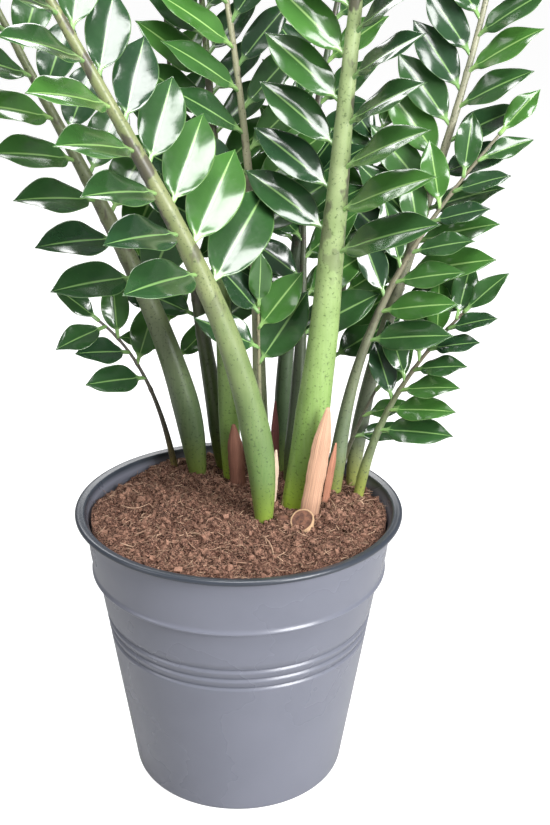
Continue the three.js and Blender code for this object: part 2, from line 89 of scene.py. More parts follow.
room = bpy.data.worlds.new("room")
room.use_nodes = True
room_nodes = room.node_tree.nodes
room_nodes["Background"].inputs["Color"].default_value = (1, 1, 1, 1)
room_glow = seen_only(room_nodes, room.node_tree.links, 1.0, 0.25)
room.node_tree.links.new(room_glow, room_nodes["Background"].inputs["Strength"])
scene.world = room


def soft_box(name, place, target, width, height, power):
    """A rectangular area light at a place, turned to look at a target."""
    data = bpy.data.lights.new(name, "AREA")
    data.shape = "RECTANGLE"
    data.size = width
    data.size_y = height
    data.energy = power
    light = bpy.data.objects.new(name, data)
    turn = (Vector(target) - Vector(place)).to_track_quat("-Z", "Y")
    light.matrix_world = Matrix.Translation(place) @ turn.to_matrix().to_4x4()
    scene.collection.objects.link(light)
    return light


MIDDLE = (0, 0, 0.35)
boxes = [
    soft_box("box_right", (1.6, -1.8, 1.15), MIDDLE, 1.1, 1.5, 112),
    soft_box("box_left", (-2.0, -0.8, 1.6), MIDDLE, 0.8, 1.5, 14),
    soft_box("box_above", (0.1, -0.9, 2.3), MIDDLE, 1.3, 0.9, 52),
    soft_box("box_behind", (-0.4, 1.9, 1.9), MIDDLE, 1.8, 0.9, 34),
]

# ------------------------------------------------------------------ pot
# A grower pot, injection-moulded in one piece from plastic, painted grey-blue outside as a reflection and
# near black on the rim
# and inside as shade: flat base with drain holes, tapered wall with three grooves, a stepped collar and a
# rolled rim.
MM = 0.001
FLOOR_THICKNESS = 3.0
WALL_THICKNESS = 2.2
RIM_RADIUS = 135.0
RIM_TOP = 240.0
COLLAR_BOTTOM = 186.5
COLLAR_FOOT = 122.8
GROOVES = (133.3, 141.9, 150.5)
DRAIN_COUNT = 8
DRAIN_CIRCLE = 62
DRAIN_RADIUS = 5.0


def wall_radius(z):
    """Radius of the tapered wall: 90.4 mm at the base, growing 0.149 mm per mm."""
    return 90.4 + 0.149 * z


def grooved(z):
    """Wall radius less, at each groove, a dip that deepens slowly down a ramp 6 mm tall
    and comes back out over a rounded ledge 2.4 mm tall."""
    radius = wall_radius(z)
    for middle in GROOVES:
        ramp = np.clip((middle + 4.4 - z) / 6.0, 0, 1)
        ledge = np.clip((z - (middle - 3.6)) / 2.4, 0, 1)
        radius = radius - 1.9 * ramp**1.4 * (3 * ledge**2 - 2 * ledge**3)
    return radius


def corner(centre, radius, start, end, steps=7):
    """Points on an arc about a centre, from one angle to another, in degrees."""
    turn = np.radians(np.linspace(start, end, steps))
    return np.stack([centre[0] + radius * np.cos(turn), centre[1] + radius * np.sin(turn)], 1)


def grid_quads(rows, columns, closed):
    """Four-sided faces between neighbouring points of a grid, closed round its columns."""
    last = columns if closed else columns - 1
    i, j = np.meshgrid(np.arange(rows - 1), np.arange(last), indexing="ij")
    k = (j + 1) % columns
    a, b = i * columns + j, i * columns + k
    return np.stack([a, b, b + columns, a + columns], -1).reshape(-1, 4)


def closed_faces(rows, columns):
    """Faces of closed rings whose two ends fan to poles, the two points given last."""
    k = np.arange(columns)
    n = (k + 1) % columns
    low, top = rows * columns, (rows - 1) * columns
    faces = grid_quads(rows, columns, True).tolist()
    faces += np.stack([np.full(columns, low), n, k], 1).tolist()
    faces += np.stack([np.full(columns, low + 1), top + k, top + n], 1).tolist()
    return faces


def make_piece(name, points, faces, material, nodes):
    """A smooth-shaded mesh object at the origin, from points in millimetres."""
    mesh = bpy.data.meshes.new(name)
    mesh.from_pydata((points * MM).tolist(), [], [list(f) for f in faces])
    mesh.polygons.foreach_set("use_smooth", [True] * len(mesh.polygons))
    mesh.materials.append(material)
    piece = bpy.data.objects.new(name, mesh)
    scene.collection.objects.link(piece)
    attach(piece, "root")
    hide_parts(*nodes)
    return piece


def turned(profile, steps):
    """A profile of (radius, height) turned round Z; its first and last points are poles."""
    turn = np.linspace(0, 2 * math.pi, steps, endpoint=False)
    ring = profile[1:-1]
    x = ring[:, :1] * np.cos(turn)
    y = ring[:, :1] * np.sin(turn)
    z = np.repeat(ring[:, 1:], steps, 1)
    points = np.stack([x, y, z], -1).reshape(-1, 3)
    points = np.vstack([points, [0, 0, profile[0, 1]], [0, 0, profile[-1, 1]]])
    return points, closed_faces(len(ring), steps)


def pot_profile():
    """Outline of the pot from under its base, up the outside, over the rim, down inside."""
    up = np.linspace(4.0, COLLAR_BOTTOM - 1.6, 230)
    down = up[::-6]
    outside = [
        [[0, 0], [40, 0], [84, 0]],
        corner((wall_radius(3) - 3.2, 3.0), 3.0, -90, -8),
        np.stack([grooved(up), up], 1),
        [[wall_radius(COLLAR_BOTTOM) - 0.1, COLLAR_BOTTOM - 0.9]],
        corner((COLLAR_FOOT - 1.4, COLLAR_BOTTOM + 1.5), 1.7, -90, 48),
        [[COLLAR_FOOT - 1.1, COLLAR_BOTTOM + 4.0], [COLLAR_FOOT - 1.0, COLLAR_BOTTOM + 5.6]],
        [[123.8, 205], [125.6, 222], [126.4, 233.4]],
        [[127.2, 235.0], [129.4, 235.6]],
        corner((RIM_RADIUS - 2.4, RIM_TOP - 2.4), 2.4, -70, 90, 13),
        [[131.4, RIM_TOP - 0.1], [130.0, RIM_TOP - 0.6]],
        corner((129.2, RIM_TOP - 3.2), 2.5, 85, 175, 6),
    ]
    inside = [
        [[124.6, 233.0], [123.8, 222.0], [122.2, 205.0], [120.8, COLLAR_BOTTOM + 2.5]],
        [[wall_radius(COLLAR_BOTTOM) - WALL_THICKNESS - 1.0, COLLAR_BOTTOM - 1.0]],
        np.stack([grooved(down) - WALL_THICKNESS, down], 1)[2:-1],
        [[wall_radius(3) - WALL_THICKNESS - 1.6, FLOOR_THICKNESS + 0.4]],
        [[86, FLOOR_THICKNESS], [0, FLOOR_THICKNESS]],
    ]
    return np.vstack([np.array(part, float) for part in outside + inside])


def mottle_group():
    """Soft mottle on Object coordinates: a large and a small noise, mixed, 0 to 1."""
    group = bpy.data.node_groups.new("mottle", "ShaderNodeTree")
    face = group.interface
    face.new_socket("Size", in_out="INPUT", socket_type="NodeSocketFloat")
    face.new_socket("Fine size", in_out="INPUT", socket_type="NodeSocketFloat")
    face.new_socket("Mask", in_out="OUTPUT", socket_type="NodeSocketFloat")
    face.new_socket("Fine", in_out="OUTPUT", socket_type="NodeSocketFloat")
    nodes, links = group.nodes, group.links
    entry = nodes.new("NodeGroupInput")
    leave = nodes.new("NodeGroupOutput")
    where = nodes.new("ShaderNodeTexCoord")
    large = nodes.new("ShaderNodeTexNoise")
    fine = nodes.new("ShaderNodeTexNoise")
    large.inputs["Detail"].default_value = 4
    fine.inputs["Detail"].default_value = 6
    links.new(where.outputs["Object"], large.inputs["Vector"])
    links.new(where.outputs["Object"], fine.inputs["Vector"])
    links.new(entry.outputs["Size"], large.inputs["Scale"])
    links.new(entry.outputs["Fine size"], fine.inputs["Scale"])
    spread = nodes.new("ShaderNodeMapRange")
    spread.inputs["From Min"].default_value = 0.32
    spread.inputs["From Max"].default_value = 0.68
    links.new(large.outputs["Fac"], spread.inputs["Value"])
    links.new(spread.outputs["Result"], leave.inputs["Mask"])
    links.new(fine.outputs["Fac"], leave.inputs["Fine"])
    return group


MOTTLE = mottle_group()


def new_material(name):
    """A node material with its Principled shader, nodes and links handed back."""
    material = bpy.data.materials.new(name)
    material.use_nodes = True
    tree = material.node_tree
    return material, tree.nodes["Principled BSDF"], tree.nodes, tree.links


def add_mottle(nodes, size, fine):
    """The mottle group placed in a material with its own two sizes."""
    mottle = nodes.new("ShaderNodeGroup")
    mottle.node_tree = MOTTLE
    mottle.inputs["Size"].default_value = size
    mottle.inputs["Fine size"].default_value = fine
    return mottle


def point_value(nodes, name):
    """Output that reads a number stored per vertex of the piece."""
    node = nodes.new("ShaderNodeAttribute")
    node.attribute_name = name
    return node.outputs["Fac"]


def two_colours(nodes, links, mask, first, second):
    """Mixes two colours, given or linked, by a mask output; hands back the colour output."""
    mix = nodes.new("ShaderNodeMix")
    mix.data_type = "RGBA"
    links.new(mask, mix.inputs["Factor"])
    for socket, colour in (("A", first), ("B", second)):
        target = [s for s in mix.inputs if s.name == socket and s.type == "RGBA"][0]
        if isinstance(colour, tuple):
            target.default_value = (*colour, 1)
        else:
            links.new(colour, target)
    return [s for s in mix.outputs if s.type == "RGBA"][0]


def ranged(nodes, links, value, low, high, out_low, out_high):
    """Maps a value output from one range to another, held at the ends."""
    node = nodes.new("ShaderNodeMapRange")
    node.inputs["From Min"].default_value = low
    node.inputs["From Max"].default_value = high
    node.inputs["To Min"].default_value = out_low
    node.inputs["To Max"].default_value = out_high
    links.new(value, node.inputs["Value"])
    return node.outputs["Result"]


def stretched_noise(nodes, links, where, stretch, scale, detail=2.0, roughness=0.5):
    """Noise over coordinates multiplied by a stretch along each axis."""
    mapping = nodes.new("ShaderNodeMapping")
    mapping.inputs["Scale"].default_value = stretch
    noise = nodes.new("ShaderNodeTexNoise")
    noise.inputs["Scale"].default_value = scale
    noise.inputs["Detail"].default_value = detail
    noise.inputs["Roughness"].default_value = roughness
    links.new(where, mapping.inputs["Vector"])
    links.new(mapping.outputs["Vector"], noise.inputs["Vector"])
    return noise.outputs["Fac"]


def add_bump(nodes, links, shader, height, strength, distance):
    """A bump from a height output into the shader's Normal."""
    bump = nodes.new("ShaderNodeBump")
    bump.inputs["Strength"].default_value = strength
    bump.inputs["Distance"].default_value = distance
    links.new(height, bump.inputs["Height"])
    links.new(bump.outputs["Normal"], shader.inputs["Normal"])


def pot_plastic():
    """Satin plastic, painted near black inside and on the rolled rim as shade, and painted a lighter
    grey-blue on the outside as a reflection of the bright room: faint mottle of colour, gloss and surface."""
    material, shader, nodes, links = new_material("pot_plastic")
    mottle = add_mottle(nodes, 9, 420)
    # Painted shade and reflection: near black on the rolled rim and inside, a lighter mottled grey-blue on
    # the outside wall.
    painted_sheen_shade = point_value(nodes, "painted_sheen_shade")
    painted_sheen_colour = two_colours(
        nodes, links, mottle.outputs["Mask"], (0.128, 0.135, 0.168), (0.150, 0.157, 0.194)
    )
    colour = two_colours(nodes, links, painted_sheen_shade, (0.030, 0.036, 0.048), painted_sheen_colour)
    links.new(colour, shader.inputs["Base Color"])
    gloss = ranged(nodes, links, mottle.outputs["Mask"], 0.3, 0.7, 0.26, 0.30)
    links.new(gloss, shader.inputs["Roughness"])
    add_bump(nodes, links, shader, mottle.outputs["Mask"], 0.02, 0.0002)
    return material


def set_point_value(piece, name, values):
    """Stores one number per vertex for the piece's material to read."""
    layer = piece.data.attributes.new(name, "FLOAT", "POINT")
    layer.data.foreach_set("value", np.asarray(values, np.float32).ravel())


pot_points, pot_faces = turned(pot_profile(), 160)
pot = make_piece("pot", pot_points, pot_faces, pot_plastic(), ["pot"])

drill_points, drill_faces = turned(
    np.array([[0, -2.0], [DRAIN_RADIUS, -2.0], [DRAIN_RADIUS, 6.0], [0, 6.0]]), 24
)
hole_turns = 2 * math.pi * (np.arange(DRAIN_COUNT) + 0.5) / DRAIN_COUNT
hole_places = DRAIN_CIRCLE * np.stack([np.cos(hole_turns), np.sin(hole_turns), 0 * hole_turns], 1)
drill_all = (drill_points + hole_places[:, None, :]).reshape(-1, 3)
drill_mesh = bpy.data.meshes.new("drain_drill")
drill_mesh.from_pydata(
    (drill_all * MM).tolist(),
    [],
    [[v + n * len(drill_points) for v in f] for n in range(DRAIN_COUNT) for f in drill_faces],
)
drill = bpy.data.objects.new("drain_drill", drill_mesh)
scene.collection.objects.link(drill)
cut = pot.modifiers.new("drain_holes", "BOOLEAN")
cut.operation = "DIFFERENCE"
cut.solver = "EXACT"
cut.object = drill
evaluated = pot.evaluated_get(bpy.context.evaluated_depsgraph_get())
drilled = bpy.data.meshes.new_from_object(evaluated)
pot.modifiers.clear()
pot.data = drilled
bpy.data.objects.remove(drill)
pot_places = np.empty(len(drilled.vertices) * 3, np.float32)
drilled.vertices.foreach_get("co", pot_places)
pot_places = pot_places.reshape(-1, 3) / MM
pot_reach = np.hypot(pot_places[:, 0], pot_places[:, 1])
# Painted sheen and shade mask: 1 on the outside wall below the lip, which takes the grey-blue painted
# reflection; 0 on the rolled rim and inside, which take the near-black painted shade.
outside = np.clip((pot_reach - wall_radius(pot_places[:, 2]) + 2.0) * 2, 0, 1)
below_lip = np.clip((RIM_TOP - 4.5 - pot_places[:, 2]) * 1.5, 0, 1)
set_point_value(pot, "painted_sheen_shade", outside * below_lip)

# ------------------------------------------------------------------ potting mix
# Coconut fibre and peat crumbs, pressed loosely into the pot to a low mound: a bumpy
# surface, with crumbs, bark chips and curled fibres lying on it.
SOIL_EDGE = 233.5
SOIL_MOUND = 3.5


def waves(x, y, size, count, seed):
    """Lumpy surface between -1 and 1: a mean of sine waves of one size in many directions."""
    chance = np.random.default_rng(seed)
    total = 0 * x
    for turn, phase, stretch in zip(
        chance.uniform(0, math.pi, count),
        chance.uniform(0, 6.28, count),
        chance.uniform(0.7, 1.4, count),
    ):
        along = x * math.cos(turn) + y * math.sin(turn)
        total = total + np.sin(along * 6.28 / (size * stretch) + phase)
    return total / math.sqrt(count * 2)


def soil_height(x, y):
    """Low mound, less two hollows beside the wall at the back left and the right, with
    broad bumps that die at the wall and crumbs of four sizes."""
    share = np.minimum(1, np.hypot(x, y) / 121)
    turn = np.degrees(np.arctan2(y, x))
    hollow = 8 * np.exp(-(((turn - 150) / 17) ** 2)) + 7 * np.exp(-(((turn - 27) / 19) ** 2))
    bumps = 1.2 * np.sin(x / 11 + 1) * np.cos(y / 13) + 0.8 * np.sin(x / 5 - y / 7)
    crumbs = (
        1.3 * waves(x, y, 23, 7, 1)
        + 1.2 * waves(x, y, 10, 9, 2)
        + 1.0 * waves(x, y, 4.6, 11, 3)
        + 0.7 * waves(x, y, 2.3, 11, 4)
    )
    level = SOIL_EDGE + SOIL_MOUND * (1 - share**3) - hollow * share**6
    return level + bumps * (1 - share**8) + crumbs * (1 - 0.4 * share**8)


def soil_grain(name, dark, middle, light):
    """Brown crumbs: three colours by size of noise, very matte, with a rough bump."""
    material, shader, nodes, links = new_material(name)
    mottle = add_mottle(nodes, 160, 900)
    tone = point_value(nodes, "tone")
    base = two_colours(nodes, links, mottle.outputs["Mask"], dark, middle)
    fine = ranged(nodes, links, mottle.outputs["Fine"], 0.45, 0.62, 0.0, 0.75)
    speckled = two_colours(nodes, links, fine, base, light)
    tinted = two_colours(nodes, links, tone, speckled, light)
    links.new(tinted, shader.inputs["Base Color"])
    shader.inputs["Roughness"].default_value = 0.95
    shader.inputs["Specular IOR Level"].default_value = 0.2
    add_bump(nodes, links, shader, mottle.outputs["Fine"], 0.9, 0.0016)
    return material


soil_side = np.array(
    [
        [0, 3.6], [60, 3.6], [86.0, 3.6], [88.4, 7], [106.4, 126], [107.6, 142],
        [111.2, 158], [114.2, 186], [118.6, 191], [121.8, 220],
    ],
    float,
)
soil_steps = 420
soil_radii = np.concatenate([[122.2], np.linspace(121.6, 1.2, 150)])
soil_turn = np.linspace(0, 2 * math.pi, soil_steps, endpoint=False)
soil_x = soil_radii[:, None] * np.cos(soil_turn)
soil_y = soil_radii[:, None] * np.sin(soil_turn)
soil_z = soil_height(soil_x, soil_y)
side_ring = soil_side[1:]
side_points = np.stack(
    [
        side_ring[:, :1] * np.cos(soil_turn),
        side_ring[:, :1] * np.sin(soil_turn),
        np.repeat(side_ring[:, 1:], soil_steps, 1),
    ],
    -1,
).reshape(-1, 3)
soil_points = np.vstack(
    [
        side_points,
        np.stack([soil_x, soil_y, soil_z], -1).reshape(-1, 3),
        [[0, 0, 3.6], [0, 0, float(soil_z[-1].mean())]],
    ]
)
soil_rows = len(side_ring) + len(soil_radii)
soil_faces = grid_quads(soil_rows, soil_steps, True).tolist()
step = np.arange(soil_steps)
soil_low, soil_high = len(soil_points) - 2, len(soil_points) - 1
soil_inner = (soil_rows - 1) * soil_steps
soil_faces += [[soil_low, int((k + 1) % soil_steps), int(k)] for k in step]
soil_faces += [
    [soil_high, int(soil_inner + k), int(soil_inner + (k + 1) % soil_steps)] for k in step
]
soil_material = soil_grain(
    "potting_mix", (0.010, 0.005, 0.004), (0.080, 0.036, 0.026), (0.36, 0.20, 0.14)
)
soil = make_piece(
    "soil_surface", soil_points, soil_faces, soil_material, ["soil"]
)
set_point_value(soil, "tone", np.zeros(len(soil_points)))

crumb_chance = np.random.default_rng(11)


def scattered(count, edge):
    """Places spread evenly over the soil's disc, out to a radius."""
    radius = edge * np.sqrt(crumb_chance.uniform(0, 1, count))
    turn = crumb_chance.uniform(0, 2 * math.pi, count)
    return radius * np.cos(turn), radius * np.sin(turn)


def turned_axes(count, flatness):
    """Random sets of three axes at right angles, lying mostly flat."""
    along = crumb_chance.normal(0, 1, (count, 3)) * [1, 1, flatness]
    along /= np.linalg.norm(along, axis=1)[:, None]
    other = crumb_chance.normal(0, 1, (count, 3)) * [1, 1, flatness]
    third = np.cross(along, other)
    third /= np.linalg.norm(third, axis=1)[:, None]
    return along, np.cross(third, along), third


CHIP_CORNERS = np.array(
    [[-1, -1, -1], [1, -0.6, -1], [0.8, 1, -1], [-0.9, 0.8, -1],
     [-0.7, -0.8, 1], [1, -0.9, 0.8], [0.9, 0.7, 1], [-1, 1, 0.7]], float
)
CHIP_FACES = np.array(
    [[0, 3, 2, 1], [4, 5, 6, 7], [0, 1, 5, 4], [1, 2, 6, 5], [2, 3, 7, 6], [3, 0, 4, 7]]
)


def chips(count, smallest, largest, edge):
    """Irregular six-sided crumbs half sunk in the surface, each with its own size and turn."""
    x, y = scattered(count, edge)
    size = smallest + (largest - smallest) * crumb_chance.uniform(0, 1, count) ** 2.5
    along, across, up = turned_axes(count, 0.5)
    shape = CHIP_CORNERS * crumb_chance.uniform(0.55, 1.1, (count, 8, 3))
    shape = shape * (size[:, None] * crumb_chance.uniform(0.3, 1, (count, 3)))[:, None, :]
    place = np.stack([x, y, soil_height(x, y) + 0.25 * size], 1)
    points = (
        place[:, None, :]
        + shape[..., :1] * along[:, None, :]
        + shape[..., 1:2] * across[:, None, :]
        + shape[..., 2:] * up[:, None, :]
    )
    faces = CHIP_FACES[None] + 8 * np.arange(count)[:, None, None]
    return points.reshape(-1, 3), faces.reshape(-1, 4)


chip_points, chip_faces = chips(5200, 0.6, 3.8, 120)
chip_piece = make_piece("soil_crumbs", chip_points, chip_faces, soil_material, [])
set_point_value(chip_piece, "tone", np.repeat(crumb_chance.uniform(0, 1, 5200) ** 2 * 0.7, 8))
chip_piece.data.polygons.foreach_set("use_smooth", [False] * len(chip_piece.data.polygons))


def fibres(count, shortest, longest, thin, thick, edge):
    """Curled hairs lying on the mix: a bent line of seven rings of four points each."""
    x, y = scattered(count, edge)
    length = crumb_chance.uniform(shortest, longest, count)
    radius = crumb_chance.uniform(thin, thick, count)
    along, across, up = turned_axes(count, 0.28)
    t = np.linspace(-0.5, 0.5, 7)
    bend = crumb_chance.uniform(-0.9, 0.9, count)
    arch = crumb_chance.uniform(-0.1, 0.5, count)
    line = (
        along[:, None, :] * (length[:, None] * t)[..., None]
        + across[:, None, :] * (length * bend)[:, None, None] * (t**2)[None, :, None]
        - np.array([0, 0, 1.0]) * (length * arch)[:, None, None] * (t**2)[None, :, None]
    )
    place = np.stack([x, y, soil_height(x, y) + 0.6 + 0.06 * length], 1)
    line = line + place[:, None, :]
    turn = np.arange(4) * math.pi / 2
    taper = 1 - 1.2 * np.abs(t) ** 1.5
    ring = (
        across[:, None, :] * np.cos(turn)[None, :, None]
        + up[:, None, :] * np.sin(turn)[None, :, None]
    )
    points = (
        line[:, :, None, :]
        + ring[:, None, :, :] * (radius[:, None] * taper)[..., None, None]
    )
    one = np.vstack([grid_quads(7, 4, True), [[3, 2, 1, 0], [24, 25, 26, 27]]])
    faces = one[None] + 28 * np.arange(count)[:, None, None]
    return points.reshape(-1, 3), faces.reshape(-1, 4)


def fibre_straw():
    """Dry coconut hair: tan to red-brown by strand, matte."""
    material, shader, nodes, links = new_material("fibre_straw")
    tone = point_value(nodes, "tone")
    mottle = add_mottle(nodes, 300, 1500)
    base = two_colours(
        nodes, links, tone, (0.12, 0.050, 0.034), (0.56, 0.38, 0.26)
    )
    shade = ranged(nodes, links, mottle.outputs["Fine"], 0.4, 0.65, 0.0, 0.5)
    colour = two_colours(nodes, links, shade, base, (0.10, 0.045, 0.028))
    links.new(colour, shader.inputs["Base Color"])
    shader.inputs["Roughness"].default_value = 0.8
    shader.inputs["Specular IOR Level"].default_value = 0.3
    add_bump(nodes, links, shader, mottle.outputs["Fine"], 0.3, 0.0003)
    return material


FIBRE = fibre_straw()
HAIR_COUNT = 3600
hair_points, hair_faces = fibres(HAIR_COUNT, 2.5, 12, 0.16, 0.4, 120)
hairs = make_piece("soil_fibres", hair_points, hair_faces, FIBRE, [])
set_point_value(hairs, "tone", np.repeat(crumb_chance.uniform(0, 1, HAIR_COUNT) ** 2.0, 28))
straw_points, straw_faces = fibres(34, 14, 30, 0.35, 0.8, 112)
straws = make_piece("soil_straws", straw_points, straw_faces, FIBRE, [])
set_point_value(straws, "tone", np.repeat(crumb_chance.uniform(0.3, 1, 34), 28))

# ------------------------------------------------------------------ stalks
# Each compound leaf rises from the mix on one fleshy stalk, swollen above its foot and
# tapering to a thin rachis: smooth green skin, greyer and blotched brown higher up.
STALKS = {
    "leaf_front_left": {
        "way": [(20, -25, 215), (25, -30, 400), (-65, -45, 505), (-215, -105, 815)],
        "girth": (4.5, 12, 1.2), "swell": 315, "face": (-60, 55),
        "ranks": {"from": 430, "to": 805, "step": 30, "angle": (65, 32), "length": (90, 45), "width": 0.46},
        "skin": ((0.125, 0.21, 0.065), (0.23, 0.245, 0.115)), "young": 0.12,
    },
    "leaf_back_left": {
        "way": [(-35, 70, 215), (-45, 70, 385), (-120, 65, 470), (-235, 30, 750)],
        "girth": (5, 12, 1.2), "swell": 305, "face": (-70, 50),
        "ranks": {"from": 400, "to": 765, "step": 32, "angle": (65, 32), "length": (85, 45), "width": 0.48},
        "skin": ((0.075, 0.12, 0.05), (0.18, 0.2, 0.105)), "young": 0.12,
    },
    "leaf_centre": {
        "way": [(40, 5, 215), (80, -5, 355), (65, -5, 600), (110, -40, 905)],
        "girth": (8, 14, 1.2), "swell": 320, "face": (-120, 50),
        "ranks": {"from": 450, "to": 880, "step": 32, "angle": (60, 32), "length": (85, 45), "width": 0.4},
        "skin": ((0.2, 0.34, 0.075), (0.33, 0.4, 0.2)), "young": 0.12,
    },
    "leaf_left_slim": {
        "way": [(-10, 85, 215), (-25, 85, 330), (-50, 85, 450), (-60, 100, 640)],
        "girth": (5, 9, 1.2), "swell": 275, "face": (-90, 45),
        "ranks": {"from": 360, "to": 620, "step": 30, "angle": (60, 30), "length": (60, 45), "width": 0.45},
        "skin": ((0.1, 0.15, 0.055), (0.09, 0.085, 0.06)), "young": 0.12,
    },
    "leaf_middle_back": {
        "way": [(-5, 60, 215), (-15, 60, 380), (-15, 65, 560), (-45, 75, 770)],
        "girth": (6, 9, 1.2), "swell": 300, "face": (-90, 45),
        "ranks": {"from": 440, "to": 750, "step": 30, "angle": (55, 30), "length": (75, 45), "width": 0.46},
        "skin": ((0.15, 0.25, 0.06), (0.16, 0.2, 0.09)), "young": 0.12,
    },
    "leaf_middle_pale": {
        "way": [(20, 50, 215), (15, 50, 420), (15, 50, 560), (-45, 35, 800)],
        "girth": (5, 6.5, 1.2), "swell": 290, "face": (-80, 45),
        "ranks": {"from": 455, "to": 790, "step": 32, "angle": (55, 30), "length": (80, 45), "width": 0.38},
        "skin": ((0.2, 0.25, 0.12), (0.4, 0.38, 0.25)), "young": 0.12,
    },
    "leaf_back_centre": {
        "way": [(35, 80, 215), (40, 80, 400), (55, 85, 560), (110, 95, 780)],
        "girth": (6, 7.5, 1.2), "swell": 310, "face": (-90, 45),
        "ranks": {"from": 360, "to": 760, "step": 32, "angle": (55, 30), "length": (70, 45), "width": 0.44},
        "skin": ((0.06, 0.1, 0.045), (0.07, 0.095, 0.06)), "young": 0.12,
    },
    "leaf_centre_dark": {
        "way": [(45, 45, 215), (50, 45, 320), (55, 50, 420), (50, 55, 530)],
        "girth": (6, 8.5, 1.2), "swell": 275, "face": (-90, 40),
        "ranks": {"from": 370, "to": 520, "step": 32, "angle": (55, 35), "length": (65, 50), "width": 0.46},
        "skin": ((0.04, 0.06, 0.028), (0.07, 0.085, 0.05)), "young": 0.12,
    },
    "leaf_right_front": {
        "way": [(80, 30, 215), (85, 30, 350), (115, 35, 430), (205, 50, 535)],
        "girth": (5, 7, 1.2), "swell": 265, "face": (-100, 45),
        "ranks": {"from": 370, "to": 525, "step": 24, "angle": (60, 35), "length": (65, 45), "width": 0.42},
        "skin": ((0.13, 0.175, 0.095), (0.2, 0.175, 0.12)), "young": 0.12,
    },
    "leaf_right_tall": {
        "way": [(100, 60, 215), (100, 60, 390), (195, 65, 510), (215, 90, 820)],
        "girth": (5, 7, 1.2), "swell": 285, "face": (-110, 45),
        "ranks": {"from": 390, "to": 800, "step": 27, "angle": (60, 32), "length": (78, 42), "width": 0.44},
        "skin": ((0.15, 0.19, 0.12), (0.3, 0.29, 0.2)), "young": 0.12,
    },
    "leaf_right_low": {
        "way": [(100, 25, 215), (105, 25, 290), (135, 20, 350), (180, 15, 400)],
        "girth": (3.5, 4.5, 1.2), "swell": 255, "face": (-100, 50),
        "ranks": {"from": 295, "to": 390, "step": 18, "angle": (60, 35), "length": (60, 45), "width": 0.42},
        "skin": ((0.16, 0.21, 0.1), (0.16, 0.13, 0.09)), "young": 0.12,
    },
    "leaf_small_right": {
        "way": [(80, 50, 215), (90, 50, 260), (100, 45, 290), (115, 40, 325)],
        "girth": (3, 3, 1.2), "swell": 240, "face": (-60, 50),
        "ranks": {"from": 280, "to": 308, "step": 20, "angle": (60, 45), "length": (45, 40), "width": 0.42},
        "skin": ((0.13, 0.135, 0.09), (0.11, 0.09, 0.07)), "young": 0.12,
    },
    "leaf_back_right": {
        "way": [(70, 75, 215), (75, 80, 330), (90, 80, 430), (115, 90, 530)],
        "girth": (4, 4.5, 1.2), "swell": 260, "face": (-90, 40),
        "ranks": {"from": 340, "to": 510, "step": 28, "angle": (55, 35), "length": (65, 50), "width": 0.48},
        "skin": ((0.1, 0.14, 0.065), (0.13, 0.145, 0.08)), "young": 0.15,
    },
    "shoot_left_low": {
        "way": [(-55, 85, 215), (-65, 85, 290), (-85, 80, 345), (-120, 75, 375)],
        "girth": (2.5, 3, 1.2), "swell": 240, "face": (-80, 45),
        "ranks": {"from": 310, "to": 360, "step": 24, "angle": (60, 40), "length": (60, 50), "width": 0.5},
        "skin": ((0.1, 0.095, 0.07), (0.11, 0.09, 0.07)), "young": 0.12,
    },
    "shoot_left_back": {
        "way": [(-35, 100, 215), (-45, 100, 300), (-60, 105, 350), (-75, 110, 390)],
        "girth": (2.5, 3, 1.2), "swell": 240, "face": (-90, 45),
        "ranks": {"from": 330, "to": 380, "step": 30, "angle": (60, 40), "length": (50, 45), "width": 0.42},
        "skin": ((0.1, 0.1, 0.065), (0.1, 0.09, 0.07)), "young": 0.4,
    },
    "shoot_centre": {
        "way": [(15, 20, 215), (20, 20, 290), (15, 20, 350), (15, 15, 405)],
        "girth": (2.5, 3.5, 1.2), "swell": 250, "face": (-80, 40),
        "ranks": {"from": 355, "to": 390, "step": 30, "angle": (55, 35), "length": (65, 55), "width": 0.5},
        "skin": ((0.2, 0.22, 0.13), (0.28, 0.24, 0.14)), "young": 0.12,
    },
}


CURVE_STEPS = 14
FOOT_CROWDING = 1.2
TAPER_POWER = 1.7


def girth_at(given, z):
    """Radius at a height: swells from the foot as a quarter sine, then tapers to the tip."""
    foot, thickest, tip = given["girth"]
    start, end, swell = given["way"][0][2], given["way"][3][2], given["swell"]
    below = foot + (thickest - foot) * np.sin(
        math.pi / 2 * np.clip((z - start) / (swell - start), 0, 1)
    )
    above = tip + (thickest - tip) * (1 - np.clip((z - swell) / (end - swell), 0, 1)) ** TAPER_POWER
    return np.where(z < swell, below, above)


def centreline(given, steps):
    """Points and radii along the cubic curve (1-t)^3 A + 3t(1-t)^2 B + 3t^2(1-t) C + t^3 D,
    closer together near the foot."""
    a, b, c, d = np.array(given["way"], float)
    t = (np.arange(steps + 1) / steps)[:, None] ** FOOT_CROWDING
    line = (1 - t) ** 3 * a + 3 * t * (1 - t) ** 2 * b + 3 * t**2 * (1 - t) * c + t**3 * d
    return np.column_stack([line, girth_at(given, line[:, 2])])


def tube(line, radius, sides, rough):
    """Rings of points round a line; each ring lies across it. The radius swells and sinks
    a little along and round the stalk, and both ends close on a pole."""
    along = np.gradient(line, axis=0)
    along /= np.linalg.norm(along, axis=1)[:, None]
    side = np.cross([0.0, 1.0, 0.0], along)
    side /= np.linalg.norm(side, axis=1)[:, None]
    back = np.cross(along, side)
    turn = np.linspace(0, 2 * math.pi, sides, endpoint=False)
    wave = 1 + rough * np.sin(2 * turn + line[:, 2:] / 31) + rough * np.sin(
        3 * turn - line[:, 2:] / 17
    )
    reach = (radius[:, None] * wave)[..., None]
    ring = side[:, None] * np.cos(turn)[:, None] + back[:, None] * np.sin(turn)[:, None]
    points = (line[:, None, :] + ring * reach).reshape(-1, 3)
    points = np.vstack([points, line[0] - along[0] * 0.4, line[-1] + along[-1] * 0.6])
    return points, closed_faces(len(line), sides)


